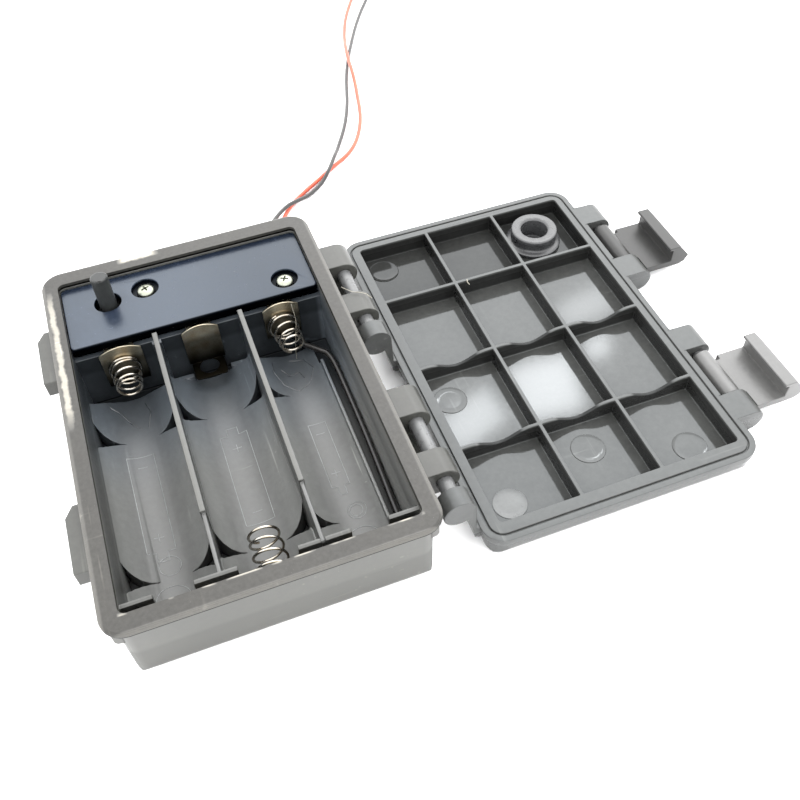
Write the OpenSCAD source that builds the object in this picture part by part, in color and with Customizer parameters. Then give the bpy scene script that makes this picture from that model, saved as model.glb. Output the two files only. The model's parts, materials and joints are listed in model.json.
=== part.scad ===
// Weather-sealed holder for three cylindrical cells: a shallow case with a hinged,
// twin-latched lid, a push switch under a cover plate and two flying leads.
// X runs towards the hinge, Y along the cells, Z up. Origin: centre of the case base.

/* [Case] */
// Outside width of the case rim, across the cells
rim_w = 55.84; // [55.6:0.02:55.9]
// Outside length of the case rim, along the cells
rim_l = 84; // [83.6:0.1:84.2]
// Height of the case up to the seal face
case_h = 18.5; // [18.4:0.05:18.5]
// Thickness of the case floor
floor_t = 1.6; // [1.2:0.1:1.7]
// Plan radius of the case corners
corner_r = 4.2; // [3.4:0.1:4.4]
// Radius along the bottom edge of the case
foot_r = 2.8; // [2.2:0.1:3]
// Thickness of the seal ring on the rim
seal_t = 1.1; // [0.9:0.05:1.2]

/* [Cells] */
// Radius of the cradle under each cell
cradle_r = 8; // [7.9:0.05:8]
// Height of the cell axis above the base
cell_z = 9.8; // [9.7:0.05:9.9]
// Thickness of the two dividers between the cells
divider_t = 1.0; // [0.8:0.1:1.2]
// Height of the divider tops
divider_z = 16.6; // [15.8:0.1:16.8]
// Wire diameter of the contact springs
spring_wire = 0.6; // [0.4:0.05:0.6]

/* [Switch] */
// Diameter of the switch stem
stem_d = 3.46; // [3.3:0.02:3.5]
// Lean of the switch and its stem, in degrees
stem_lean = 6; // [5:0.5:6.5]
// Height of the stem top above the base
stem_top = 23.45; // [23:0.05:23.5]
// Diameter of the stem opening in the cover plate
stem_hole_d = 5.4; // [5.2:0.1:6]
// Travel of the stem
stem_travel = 1.8; // [1.2:0.1:1.8]

/* [Lid] */
// Outside width of the lid, across the cells
lid_w = 55.87; // [55.8:0.01:55.9]
// Height of the lid seal face above the surface it lies on
lid_rim_z = 5.65; // [5.6:0.05:5.65]
// Height of the outer face of the lid above the surface
lid_face_z = 0.6; // [0.5:0.05:0.7]
// Height of the tray floor inside the lid
tray_z = 1.6; // [1.4:0.1:1.8]
// Thickness of the lid dividers
rib_t = 0.7; // [0.6:0.05:0.9]
// Depth of the arcs cut in the lid dividers for the cells
scallop = 2; // [1.6:0.1:2.1]

/* [Hinges and latches] */
// Radius of the hinge knuckles
knuckle_r = 3.0; // [2.9:0.05:3]
// Radius of the hinge pins
hinge_pin_r = 1.5; // [1.4:0.05:1.6]
// Radius of the latch pins
latch_pin_r = 1.1; // [0.9:0.05:1.2]
// Running clearance on the pins
run_fit = 0.05; // [0.03:0.01:0.08]
// Thickness of the latch plates
latch_t = 1.5; // [1.3:0.05:1.5]

/* [Leads] */
// Diameter over the insulation of each lead
lead_d = 1; // [0.9:0.05:1.2]

/* [Hidden] */

// Case wall planes
wall_x = 26.2;            // half width of the case below the rim
wall_y = 40.3;            // half length of the case below the rim
in_x = 24.75;             // half width of the cavity
in_y0 = -38.3;            // near end of the cavity
in_y1 = 38.1;             // far end of the cavity
seal_z = case_h - seal_t; // underside of the seal ring
part_y0 = 19.7;           // partition between the cells and the switch bay
part_y1 = 21.0;
part_z = 14.6;
plate_z0 = 15.2;          // switch cover plate
plate_z1 = 17.0;
div1_x = -8.9;            // divider centres
div2_x = 8.15;
cell_x = [-16.9, -0.4, 16.2];

// Hinge and latch axes
hinge_x = 31.8;
hinge_z = 12.12;
hinge_shift = -42.2;      // near hinge, from the far one
latch_x = 95.1;
latch_z = 2.95;
latch_shift = -42.5;      // near latch, from the far one

// Lid planes, with the lid lying open
lid_x0 = 35.73;
lid_x1 = lid_x0 + lid_w;
tray_x0 = 39.3;
tray_x1 = 88.6;
tray_y0 = -37.7;
tray_y1 = 39.2;
boot_x = 79.7;
boot_y = 31.6;

// Stem foot on the cover plate
stem_x = -16.0;
stem_y = 31.3;

// Route of the red lead, from the grommet outwards
red_route = [[21.75, 42.4, 9.2], [21.8, 44.2, 9.15], [22, 46.6, 8.7], [22.4, 49.2, 7.8], [23, 52, 6.2],
  [23.9, 55, 4.1], [25.1, 58, 2.2], [26.6, 61.2, 0.95], [28.3, 64.2, 0.62], [30.5, 67, 0.62],
  [33.2, 69.4, 0.62], [36.2, 71.7, 0.62], [39.6, 74.1, 0.62], [43, 76.6, 0.62], [46.4, 79, 0.62],
  [49.5, 81.2, 0.62], [52.1, 83.7, 0.62], [54.6, 87.2, 0.62], [56.8, 91.4, 0.62], [58.7, 96.2, 0.62],
  [60.2, 101.4, 0.62], [61.4, 106.6, 0.62], [62.4, 111, 0.9], [63.1, 114.8, 1.5], [63.7, 118.6, 1.95],
  [64.3, 122.4, 1.95], [65, 126.4, 1.95], [65.9, 130.6, 1.6], [67.1, 135.4, 0.9], [68.8, 141, 0.62],
  [71.2, 147.4, 0.62], [73.9, 153.2, 0.62], [77, 159, 0.62], [80.4, 164.6, 0.62], [84, 169.8, 0.62]];
// Route of the black lead
black_route = [[20.25, 42.4, 9.2], [20.25, 44.2, 9.15], [20.4, 46.8, 8.7], [20.75, 49.6, 7.8], [21.3, 52.6, 6.3],
  [22.1, 55.8, 4.4], [23.4, 59, 2.9], [25.2, 61.8, 2.1], [27.3, 64, 1.95], [29.8, 65.8, 1.95],
  [32.4, 67.3, 1.4], [35.2, 68.9, 0.75], [38.1, 70.9, 0.62], [40.8, 73.1, 0.9], [42.9, 75.3, 1.7],
  [44.7, 77.9, 1.95], [46.3, 80.7, 1.8], [47.9, 83.7, 1.1], [49.7, 87.2, 0.65], [51.8, 91, 0.62],
  [54, 95.4, 0.62], [56.1, 100.4, 0.62], [57.9, 105.4, 0.62], [59.4, 110.2, 0.62], [60.8, 114.8, 0.62],
  [62.4, 119.4, 0.62], [64.2, 124, 0.62], [66.3, 128.8, 0.62], [68.8, 134.2, 0.62], [71.6, 140, 0.62],
  [74.6, 145.8, 0.62], [77.9, 151.6, 0.62], [81.4, 157.2, 0.62], [85, 162.4, 0.62], [88.8, 167.4, 0.62]];
// Wire in the channel of the third bay, from the near contact to the grommet
channel_route = [[20.6, -37.3, 3.3], [22, -37.3, 3.3], [23.1, -36.4, 3.2], [23.5, -34.4, 3.1], [23.6, -30, 3],
  [23.65, -25, 3.2], [23.8, -19, 3.6], [23.95, -11, 4], [24, -4, 4.2], [24, 3, 4.3], [23.95, 8, 4.4],
  [23.7, 11, 4.6], [23.15, 13, 4.7], [22.05, 14.3, 4.7], [20.75, 15.7, 4.7], [19.45, 17.1, 4.7], [18.75, 18.5, 4.7],
  [18.7, 20.3, 4.7], [19.2, 21.2, 4.8], [20.5, 21.8, 4.9], [21.9, 23.2, 5.2], [22.6, 25.2, 5.8], [22.9, 28, 6.8],
  [22.6, 31.6, 8], [22, 34.8, 9], [21.75, 36.6, 9.2], [21.75, 37.6, 9.2]];
// Hidden wires of the switch
red_in_route = [[-17.6, 21.8, 10], [-18.2, 22.6, 9.4], [-19, 24.2, 7.6], [-19.4, 26.6, 5.4], [-19.3, 28.8, 4.3],
  [-18.75, 30.1, 4.1]];
black_in_route = [[-13.25, 30.1, 4.1], [-12, 29.4, 3.7], [-10.4, 28.2, 3.2], [-7, 27.2, 3], [-2, 27.4, 3],
  [4, 29, 3.1], [10, 31.6, 4], [15, 34, 6], [18.2, 35.6, 8], [20.25, 36.4, 9.2], [20.25, 37.6, 9.2]];

// ---------- helpers ----------
// Points of an arc
function arc(cx, cy, r, a0, a1, n = 6) = [for (i = [0:n]) let (a = a0 + (a1 - a0) * i / n) [cx + r * cos(a), cy + r * sin(a)]];
// Outline of a rectangle with rounded corners
function rrp(x0, x1, y0, y1, r, n = 6) = concat(
  arc(x1 - r, y0 + r, r, -90, 0, n), arc(x1 - r, y1 - r, r, 0, 90, n),
  arc(x0 + r, y1 - r, r, 90, 180, n), arc(x0 + r, y0 + r, r, 180, 270, n));
module plan(x0, x1, y0, y1, z0, z1, r = 0, n = 6)
  translate([0, 0, z0]) linear_extrude(z1 - z0)
    if (r > 0) polygon(rrp(x0, x1, y0, y1, r, n)); else translate([x0, y0]) square([x1 - x0, y1 - y0]);
// Section in X and Z, run along Y
module along_y(y0, y1, pts) translate([0, y1, 0]) rotate([90, 0, 0]) linear_extrude(y1 - y0) polygon(pts);
// Section in Y and Z, run along X
module along_x(x0, x1, pts) translate([x0, 0, 0]) rotate([90, 0, 90]) linear_extrude(x1 - x0) polygon(pts);
module rod_y(x, z, y0, y1, r, n = 48) translate([x, y1, z]) rotate([90, 0, 0]) cylinder(r = r, h = y1 - y0, $fn = n);
// Round cord swept along a list of points, each ring square to its path
function unit(v) = v / norm(v);
function tangent(p, i) = unit(i == 0 ? p[1] - p[0] : i == len(p) - 1 ? p[i] - p[i - 1] : p[i + 1] - p[i - 1]);
function side_of(t) = unit(cross(t, abs(t[2]) > 0.9 ? [1, 0, 0] : [0, 0, 1]));
module cord(p, d, n = 8) {
  pts = [for (i = [0:len(p) - 1]) let (t = tangent(p, i), s = side_of(t), u = cross(s, t))
         for (k = [0:n - 1]) p[i] + d / 2 * (cos(360 * (k + 0.5) / n) * s + sin(360 * (k + 0.5) / n) * u)];
  m = len(p);
  polyhedron(points = pts, faces = concat(
    [[for (k = [0:n - 1]) k]],
    [[for (k = [n - 1:-1:0]) (m - 1) * n + k]],
    [for (i = [0:m - 2]) for (k = [0:n - 1]) [i * n + k, (i + 1) * n + k, (i + 1) * n + (k + 1) % n]],
    [for (i = [0:m - 2]) for (k = [0:n - 1]) [i * n + k, (i + 1) * n + (k + 1) % n, i * n + (k + 1) % n]]), convexity = 6);
}

// ---------- case ----------
module case_outer() {
  intersection() {
    plan(-wall_x, wall_x, -wall_y, wall_y, 0, seal_z, 2.2, 6);
    along_y(-50, 50, concat([[wall_x, seal_z + 1], [-wall_x, seal_z + 1]],
      arc(-wall_x + foot_r, foot_r, foot_r, 180, 270, 6),
      arc(wall_x - foot_r, foot_r, foot_r, 270, 360, 6)));
    along_x(-50, 50, concat([[wall_y, seal_z + 1], [-wall_y, seal_z + 1]],
      arc(-wall_y + foot_r, foot_r, foot_r, 180, 270, 6), arc(wall_y - foot_r, foot_r, foot_r, 270, 360, 6)));
  }
  // thickened bands along the two long sides
  for (s = [-1, 1])
    along_y(-39.6, 39.6, s < 0
      ? [[-wall_x + 0.6, seal_z], [-wall_x - 0.8, seal_z], [-wall_x - 0.8, 12.8], [-wall_x - 0.5, 12.2], [-wall_x + 0.6, 12.0]]
      : [[wall_x - 0.6, 12.0], [wall_x + 0.5, 12.2], [wall_x + 0.8, 12.8], [wall_x + 0.8, seal_z], [wall_x - 0.6, seal_z]]);
}
// Keeper tab that a latch hooks under
module keeper(y0, y1) {
  translate([0, 0, 13.1]) linear_extrude(3.5)
    polygon([[-wall_x + 0.6, y0], [-30.6, y0], [-30.6, y1 - 2.2], [-29.2, y1], [-wall_x + 0.6, y1]]);
}
// Two hinge knuckles and the webs that carry them, far pair
module knuckles(dy) {
  for (k = [[26, 33], [12.1, 17.6]])
    along_y(k[0] + dy, k[1] + dy, concat([[wall_x - 0.6, hinge_z + knuckle_r], [wall_x - 0.6, hinge_z - knuckle_r]],
      arc(hinge_x, hinge_z, knuckle_r, -90, 90, 16)));
  // web behind the pin, between the knuckles
  plan(wall_x - 0.6, 31.4, 14 + dy, 30 + dy, 8, 9.2);
}
// Cradle block of one bay, with rounded corners that leave the pockets between blocks
module cradle_block(x0, x1, y0, y1) plan(x0, x1, y0, y1, floor_t - 0.3, 9.2, 5, 6);

module body_case() color([0.22, 0.22, 0.23]) {
  bay = [[-in_x - 0.3, div1_x], [div1_x, div2_x], [div2_x, 21.0]];
  difference() {
    union() {
      difference() {
        union() { case_outer(); keeper(14.3, 27.8); keeper(-27.9, -14.6); knuckles(0); knuckles(hinge_shift); }
        plan(-in_x, in_x, in_y0, in_y1, floor_t, case_h + 1, 1.2, 4);
      }
      // cradles: three blocks to a bay
      difference() {
        union() {
          for (b = bay) { cradle_block(b[0], b[1], 6.2, 17.5); cradle_block(b[0], b[1], -25.8, 6.2); cradle_block(b[0], b[1], -36.0, -25.8); }
          // the third bay runs straight along its channel rib
          plan(15, 21.4, -36.0, 11.6, floor_t - 0.3, 9.2);
          plan(15, 21.0, 11, 17.5, floor_t - 0.3, 9.2);
        }
        for (x = cell_x) rod_y(x, cell_z + 0.4, -40, 19, cradle_r, 72);
      }
      // channel rib beside the third bay
      plan(21.3, 21.9, -35.4, 11.6, floor_t - 0.3, 5.0);
      // dividers, stepped near their near ends
      for (x = [div1_x, div2_x]) {
        plan(x - divider_t / 2, x + divider_t / 2, -23.6, part_y0 + 0.3, floor_t - 0.3, divider_z);
        plan(x - divider_t / 2 + 0.15, x + divider_t / 2 - 0.15, -36.2, -23.3, floor_t - 0.3, divider_z - 0.7);
      }
      // lugs on the first divider and ledges at the far ends of the bays
      plan(div1_x - 0.9, div1_x + 0.9, 17.4, 18.6, floor_t - 0.3, divider_z - 0.6);
      plan(-8.5, -3.9, 17.2, 18.2, floor_t - 0.3, 4.2);
      plan(3.8, 7.9, 17.2, 18.2, floor_t - 0.3, 4.2);
      // partition in front of the switch bay
      plan(-in_x - 0.3, in_x + 0.3, part_y0, part_y1, floor_t - 0.3, part_z);
      // lips that hold the near contacts
      for (s = [[-in_x - 0.3, -19.6], [-13.1, -6.0], [3.9, 7.8], [8.5, 13.0], [19.4, in_x + 0.3]])
        plan(s[0], s[1], -36.3, -35.5, floor_t - 0.3, 16.5);
      // bosses for the cover screws, corner rests and switch rests
      for (p = [[-8.3, 32.6], [18.9, 24.8]]) translate([p[0], p[1], floor_t - 0.3]) cylinder(r = 2.3, h = plate_z0 - floor_t + 0.3, $fn = 40);
      for (x = [-in_x - 0.3, in_x - 1.7]) plan(x, x + 2.0, 36.4, in_y1 + 0.3, floor_t - 0.3, plate_z0);
      plan(-20.75, -20.0, 33.2, 36.6, floor_t - 0.3, 10);
      plan(-12.0, -11.25, 33.2, 36.6, floor_t - 0.3, 10);
      plan(-17.5, -14.5, 32.4, 34.2, floor_t - 0.3, 5.0);
    }
    for (p = [[-8.3, 32.6], [18.9, 24.8]]) translate([p[0], p[1], 8]) cylinder(r = 0.95, h = 8, $fn = 32);
    for (dy = [0, hinge_shift]) rod_y(hinge_x, hinge_z, 11 + dy, 32.4 + dy, hinge_pin_r);
    // wire notches under the near lip and through the partition, and the grommet hole
    plan(22.3, in_x, -36.6, -34.9, floor_t + 0.2, 4.6);
    rod_y(18.7, 4.7, part_y0 - 0.5, part_y1 + 0.5, 1.3, 32);
    rod_y(21.0, 9.2, in_y1 - 1, wall_y + 1, 2.0, 40);
  }
}

module rim_gasket() color([0.30, 0.29, 0.28]) difference() {
  // stepped rings give the rounded outer edge
  union() {
    plan(-rim_w / 2 + 0.35, rim_w / 2 - 0.35, -rim_l / 2 + 0.35, rim_l / 2 - 0.35, seal_z, seal_z + 0.3, corner_r - 0.35, 8);
    plan(-rim_w / 2, rim_w / 2, -rim_l / 2, rim_l / 2, seal_z + 0.2, case_h - 0.45, corner_r, 8);
    for (k = [[0.10, 0.45, 0.25], [0.28, 0.25, 0.10], [0.50, 0.10, 0]])
      plan(-rim_w / 2 + k[0], rim_w / 2 - k[0], -rim_l / 2 + k[0], rim_l / 2 - k[0], case_h - k[1], case_h - k[2], corner_r - k[0], 8);
  }
  plan(-in_x, in_x, in_y0, in_y1, seal_z - 1, case_h + 1, 1.2, 4);
}

// ---------- switch bay ----------
screws = [[-8.3, 32.6], [18.9, 24.8]];
module switch_cover_plate() color([0.20, 0.21, 0.24]) difference() {
  plan(-in_x + 0.15, in_x - 0.15, 20.5, in_y1 - 0.1, plate_z0, plate_z1, 0.8, 3);
  translate([stem_x, stem_y, 10]) cylinder(d = stem_hole_d, h = 10, $fn = 48);
  for (p = screws) {
    translate([p[0], p[1], 15.8]) cylinder(r = 2.75, h = 5, $fn = 48);
    translate([p[0], p[1], 10]) cylinder(r = 1.2, h = 10, $fn = 32);
  }
}
module cover_screws() color([0.75, 0.76, 0.70]) for (p = screws) translate([p[0], p[1], 0]) {
  difference() {
    union() {
      translate([0, 0, 15.8]) cylinder(r = 1.85, h = 0.7, $fn = 40);
      translate([0, 0, 16.5]) cylinder(r = 1.6, h = 0.3, $fn = 40);
      translate([0, 0, 9.2]) cylinder(r = 0.95, h = 6.7, $fn = 32);
    }
    for (a = [20, 110]) rotate([0, 0, a]) translate([-1.1, -0.2, 16.2]) cube([2.2, 0.4, 1]);
  }
}
module at_switch() translate([stem_x, stem_y, plate_z1]) rotate([-stem_lean, 0, 0]) children();
module switch_housing() color([0.16, 0.16, 0.17]) at_switch() difference() {
  plan(-3.9, 3.9, -3.9, 3.9, -11.3, -2.7, 0.5, 3);
  translate([0, 0, -4.7]) cylinder(r = stem_d / 2 + 0.07, h = 5, $fn = 40);
  translate([0, 0, -10.6]) cylinder(r = 3.1, h = 6.2, $fn = 40);
}
module switch_stem() color([0.12, 0.12, 0.13]) at_switch() {
  translate([0, 0, -8.4]) cylinder(d = stem_d, h = 8.4 + (stem_top - plate_z1) / cos(stem_lean) - 0.18, $fn = 40);
  translate([0, 0, -6.4]) cylinder(r = 2.8, h = 1.0, $fn = 40);
}
module stem_spring() color([0.7, 0.7, 0.7]) at_switch() difference() {
  translate([0, 0, -10.6]) cylinder(r = 2.6, h = 2.2, $fn = 32);
  translate([0, 0, -11]) cylinder(r = 2.0, h = 4, $fn = 32);
}
module switch_terminals() color([0.78, 0.72, 0.5]) at_switch()
  for (x = [-1.95, 1.95]) translate([x - 0.25, -0.8, -13.3]) cube([0.5, 1.6, 2.0]);

// ---------- contacts ----------
// Spring-steel plate on the partition: arched top, a hook over the wall and a short back leg
module far_plate(x0, x1, z0) {
  xc = (x0 + x1) / 2; h = (x1 - x0) / 2;
  along_y(part_y0 - 0.3, part_y0, concat([[x0, z0], [x1, z0]],
    [for (i = [0:8]) let (x = x1 - (x1 - x0) * i / 8) [x, 15.75 - 1.3 * pow((x - xc) / h, 2)]]));
  plan(x0 + 1.2, x1 - 1.2, part_y0 - 0.1, part_y1 + 0.3, part_z, part_z + 0.3);
  plan(x0 + 1.2, x1 - 1.2, part_y1, part_y1 + 0.3, 9.2, part_z + 0.3);
}
module contact_far_left() color([0.72, 0.70, 0.62]) far_plate(-20.3, -12.1, 5.6);
module contact_far_double() color([0.72, 0.70, 0.62]) {
  far_plate(-4.1, 3.3, 5.6);
  far_plate(12.5, 19.9, 6.6);
  // link behind the partition
  plan(0.5, 15.5, part_y1, part_y1 + 0.3, 10, 12.6);
  // foot of the middle plate
  difference() {
    plan(-3.7, 2.9, 14.8, part_y0 - 0.1, 5.3, 5.6, 0.6, 3);
    translate([-0.4, 17.8, 0]) cylinder(r = 2, h = 8, $fn = 40);
  }
}
// Plate in the slot behind the near lips, arched where it shows over the cell axis
function arch(x0, x1, z0, z1, n = 8) = let (xc = (x0 + x1) / 2, h = (x1 - x0) / 2)
  [for (i = [0:n]) let (x = x1 - (x1 - x0) * i / n) [x, z1 - (z1 - z0) * pow((x - xc) / h, 2)]];
near_y = in_y0;
module contact_near_double() color([0.72, 0.70, 0.62])
  along_y(near_y, near_y + 0.3, concat([[-20.6, 3], [-11.6, 3], [-11.6, 5], [-5.6, 5], [-5.6, 3], [4.9, 3]],
    arch(-5.6, 4.9, 16.6, 17.8), [[-5.6, 12], [-11.6, 12]], arch(-20.6, -11.6, 16.6, 17.9)));
module contact_near_right() color([0.72, 0.70, 0.62]) {
  along_y(near_y, near_y + 0.3, concat([[11.6, 3], [20.6, 3]], arch(11.6, 20.6, 16.6, 17.8)));
  // solder tab for the channel wire
  plan(19.6, 20.6, near_y + 0.3, near_y + 1.5, 2.9, 3.9);
}
// Sleeve of a conical spring, from its base ring to its tip
module spring_sleeve(x, y0, y1, r0, r1)
  translate([x, y0, cell_z + 0.1]) rotate([y1 > y0 ? -90 : 90, 0, 0]) {
    h = abs(y1 - y0);
    rotate_extrude($fn = 40) polygon([[r0 - spring_wire, 0], [r0, 0], [r1, h], [r1 - spring_wire, h]]);
  }
module spring_far_left() color([0.8, 0.79, 0.74]) spring_sleeve(-16.3, part_y0 - 0.3, 13.6, 3.5, 2.9);
module spring_far_right() color([0.8, 0.79, 0.74]) spring_sleeve(16.1, part_y0 - 0.3, 13.2, 3.5, 2.9);
module spring_near_middle() color([0.8, 0.79, 0.74]) spring_sleeve(-0.5, near_y + 0.3, -27, 3.5, 2.9);

// ---------- wires ----------
module channel_wire() color([0.08, 0.08, 0.09]) cord(channel_route, 1.2);
module inner_red_wire() color([0.75, 0.1, 0.08]) cord(red_in_route, 1.0);
module inner_black_wire() color([0.08, 0.08, 0.09]) cord(black_in_route, 1.0);
module lead_grommet() color([0.1, 0.1, 0.1]) difference() {
  union() {
    rod_y(21, 9.2, in_y1 - 0.5, wall_y + 2.1, 2.0, 40);
    rod_y(21, 9.2, wall_y, wall_y + 0.9, 2.9, 40);
    rod_y(21, 9.2, in_y1 - 0.5, in_y1, 2.8, 40);
  }
}
module red_lead() color([0.85, 0.12, 0.08]) cord(red_route, lead_d);
module black_lead() color([0.08, 0.08, 0.09]) cord(black_route, lead_d);

// ---------- lid ----------
// Arm from the lid to the hinge axis
module lid_arm(dy) along_y(4.9 + dy, 8.8 + dy, concat(arc(hinge_x, hinge_z, knuckle_r, 12, 168, 14), [[28.9, hinge_z]],
    arc(hinge_x, hinge_z, knuckle_r, 195, 300, 8), [[34, 6.8], [34.6, 4.6], [34.9, 2.6], [36.9, 1.9], [36.9, 5.0], [35.1, 5.7], [34.8, hinge_z]]));
// One ear of a latch mount
module latch_ear(y0, y1) along_y(y0, y1, concat([[lid_x1 - 0.8, lid_rim_z], [lid_x1 - 0.8, lid_face_z], [93.2, 0.2]],
    arc(latch_x, latch_z, 2.75, -90, 90, 16)));
// Divider across the lid, its top dipping in an arc over each cell
module scalloped(y) {
  xs = [tray_x0 - 0.2, 55.6, 72.1, tray_x1 + 0.2];
  along_y(y - rib_t / 2, y + rib_t / 2, concat([[xs[3], tray_z - 0.2], [xs[0], tray_z - 0.2]],
    [for (i = [0:2]) for (k = [0:18]) let (x = xs[i] + (xs[i + 1] - xs[i]) * k / 18, u = 2 * k / 18 - 1)
      [x, lid_rim_z - (abs(u) > 0.78 ? 0 : scallop * (1 + cos(180 * u / 0.78)) / 2)]]));
}
module lid_shell() color([0.25, 0.25, 0.26]) difference() {
  union() {
    difference() {
      union() {
        // skin with a rounded outer edge, under a slightly wider flange
        intersection() {
          plan(lid_x0 + 0.34, lid_x1 - 0.34, -rim_l / 2 + 0.64, rim_l / 2 - 0.04, lid_face_z, lid_rim_z - 0.6, corner_r - 0.3, 8);
          along_y(-50, 50, concat([[lid_x1 - 0.34, 9], [lid_x0 + 0.34, 9]], arc(lid_x0 + 2.14, lid_face_z + 1.8, 1.8, 180, 270, 5),
            arc(lid_x1 - 2.14, lid_face_z + 1.8, 1.8, 270, 360, 5)));
          along_x(0, 120, concat([[rim_l / 2 - 0.04, 9], [-rim_l / 2 + 0.64, 9]], arc(-rim_l / 2 + 2.44, lid_face_z + 1.8, 1.8, 180, 270, 5),
            arc(rim_l / 2 - 1.84, lid_face_z + 1.8, 1.8, 270, 360, 5)));
        }
        plan(lid_x0, lid_x1, -rim_l / 2 + 0.3, rim_l / 2 + 0.3, lid_rim_z - 1.6, lid_rim_z, corner_r, 8);
      }
      // groove for the seal
      difference() {
        plan(lid_x0 + 1.2, lid_x1 - 1.2, -rim_l / 2 + 1.5, rim_l / 2 - 0.9, lid_rim_z - 0.5, lid_rim_z + 1, corner_r - 1.2, 6);
        plan(lid_x0 + 1.6, lid_x1 - 1.6, -rim_l / 2 + 1.9, rim_l / 2 - 1.3, lid_rim_z - 1, lid_rim_z + 2, corner_r - 1.6, 6);
      }
      plan(tray_x0, tray_x1, tray_y0, tray_y1, tray_z, lid_rim_z + 1, 0.8, 3);
    }
    for (x = [55.6, 72.1]) plan(x - rib_t / 2, x + rib_t / 2, tray_y0 - 0.2, tray_y1 + 0.2, tray_z - 0.2, lid_rim_z);
    plan(tray_x0 - 0.2, tray_x1 + 0.2, 21.5 - rib_t / 2, 21.5 + rib_t / 2, tray_z - 0.2, lid_rim_z);
    scalloped(0.9);
    scalloped(-20.3);
    lid_arm(0);
    lid_arm(hinge_shift);
    for (e = [[28.15, 34.35], [9.25, 15.45]]) { latch_ear(e[0], e[1]); latch_ear(e[0] + latch_shift, e[1] + latch_shift); }
  }
  for (dy = [0, hinge_shift]) rod_y(hinge_x, hinge_z, 5.8 + dy, 10 + dy, hinge_pin_r + run_fit);
  for (dy = [0, latch_shift]) rod_y(latch_x, latch_z, 10.2 + dy, 33.4 + dy, latch_pin_r);
  // hole for the boot
  translate([boot_x, boot_y, 0]) cylinder(r = 3.8, h = 5, $fn = 48);
}
// Soft button boot: a finger dome outside, a collar round the stem inside
module button_boot() color([0.07, 0.07, 0.07]) translate([boot_x, boot_y, 0]) rotate_extrude($fn = 64)
  polygon(concat([[0, 0.0], [1.6, 0.05], [3.0, 0.25], [4.9, 0.3], [4.9, 0.6], [3.8, 0.6], [3.8, 1.6], [6.3, 1.6], [6.3, 2.3],
    [5.2, 2.6], [4.9, 3.0], [4.9, 4.3], [5.3, 4.5]], arc(4.9, 5.1, 0.4, 0, 90, 4),
    [[3.6, 5.5], [3.1, 5.2], [3.1, 0.75], [0, 0.6]]));

module hinge_pin(dy) rod_y(hinge_x, hinge_z, 5.95 + dy, 32.4 + dy, hinge_pin_r);
module hinge_pin_far() color([0.3, 0.3, 0.3]) hinge_pin(0);
module hinge_pin_near() color([0.3, 0.3, 0.3]) hinge_pin(hinge_shift);

// ---------- latches ----------
// Over-centre latch: knuckle, plate and hook
module latch(dy) difference() {
  union() {
    rod_y(latch_x, latch_z, 15.8 + dy, 27.3 + dy, 2.1, 40);
    // plate, cut back where it passes the ears
    translate([0, 0, 3.45 - latch_t]) linear_extrude(latch_t)
      polygon([[latch_x + 0.3, 15.8 + dy], [98.3, 15.8 + dy], [98.3, 11.8 + dy], [106, 11.8 + dy], [106, 26.3 + dy], [98.3, 26.3 + dy],
        [98.3, 25.1 + dy], [latch_x + 0.3, 25.1 + dy]]);
    along_y(11.8 + dy, 26.3 + dy, [[104.5, 3.45 - latch_t], [107, 3.45 - latch_t], [108.2, 2.5], [109, 4], [106.2, 7.2], [103.75, 7.2],
        [103.6, 7.05], [103.6, 6.5], [104.5, 6.5]]);
  }
  rod_y(latch_x, latch_z, 15 + dy, 28 + dy, latch_pin_r + run_fit);
}
module latch_far() color([0.25, 0.25, 0.26]) latch(0);
module latch_near() color([0.25, 0.25, 0.26]) latch(latch_shift);
module latch_pin(dy) rod_y(latch_x, latch_z, 10.2 + dy, 33.4 + dy, latch_pin_r);
module latch_pin_far() color([0.5, 0.5, 0.5]) latch_pin(0);
module latch_pin_near() color([0.5, 0.5, 0.5]) latch_pin(latch_shift);

body_case();
rim_gasket();
switch_cover_plate();
cover_screws();
switch_housing();
switch_stem();
stem_spring();
switch_terminals();
contact_far_left();
contact_far_double();
contact_near_double();
contact_near_right();
spring_far_left();
spring_far_right();
spring_near_middle();
channel_wire();
inner_red_wire();
inner_black_wire();
lead_grommet();
lid_shell();
button_boot();
latch_far();
latch_near();
latch_pin_far();
latch_pin_near();
hinge_pin_far();
hinge_pin_near();
red_lead();
black_lead();
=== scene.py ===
import json, math, random
import bpy, bmesh
from mathutils import Matrix, Vector


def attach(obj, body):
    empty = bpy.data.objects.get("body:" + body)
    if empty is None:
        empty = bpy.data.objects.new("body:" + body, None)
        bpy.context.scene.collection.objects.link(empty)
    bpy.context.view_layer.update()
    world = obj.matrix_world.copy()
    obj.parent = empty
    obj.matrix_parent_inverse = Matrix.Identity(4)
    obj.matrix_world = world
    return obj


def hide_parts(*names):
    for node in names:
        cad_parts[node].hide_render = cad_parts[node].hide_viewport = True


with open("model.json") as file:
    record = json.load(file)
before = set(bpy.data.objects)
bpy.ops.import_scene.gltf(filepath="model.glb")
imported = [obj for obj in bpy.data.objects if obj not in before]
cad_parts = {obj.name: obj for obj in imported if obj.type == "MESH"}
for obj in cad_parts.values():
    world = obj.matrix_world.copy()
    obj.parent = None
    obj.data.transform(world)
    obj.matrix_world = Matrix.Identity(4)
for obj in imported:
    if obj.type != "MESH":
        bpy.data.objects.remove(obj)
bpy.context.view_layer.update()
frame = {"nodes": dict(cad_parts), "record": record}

MM = 0.001
scene = bpy.context.scene
nodes = frame["nodes"]

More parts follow.
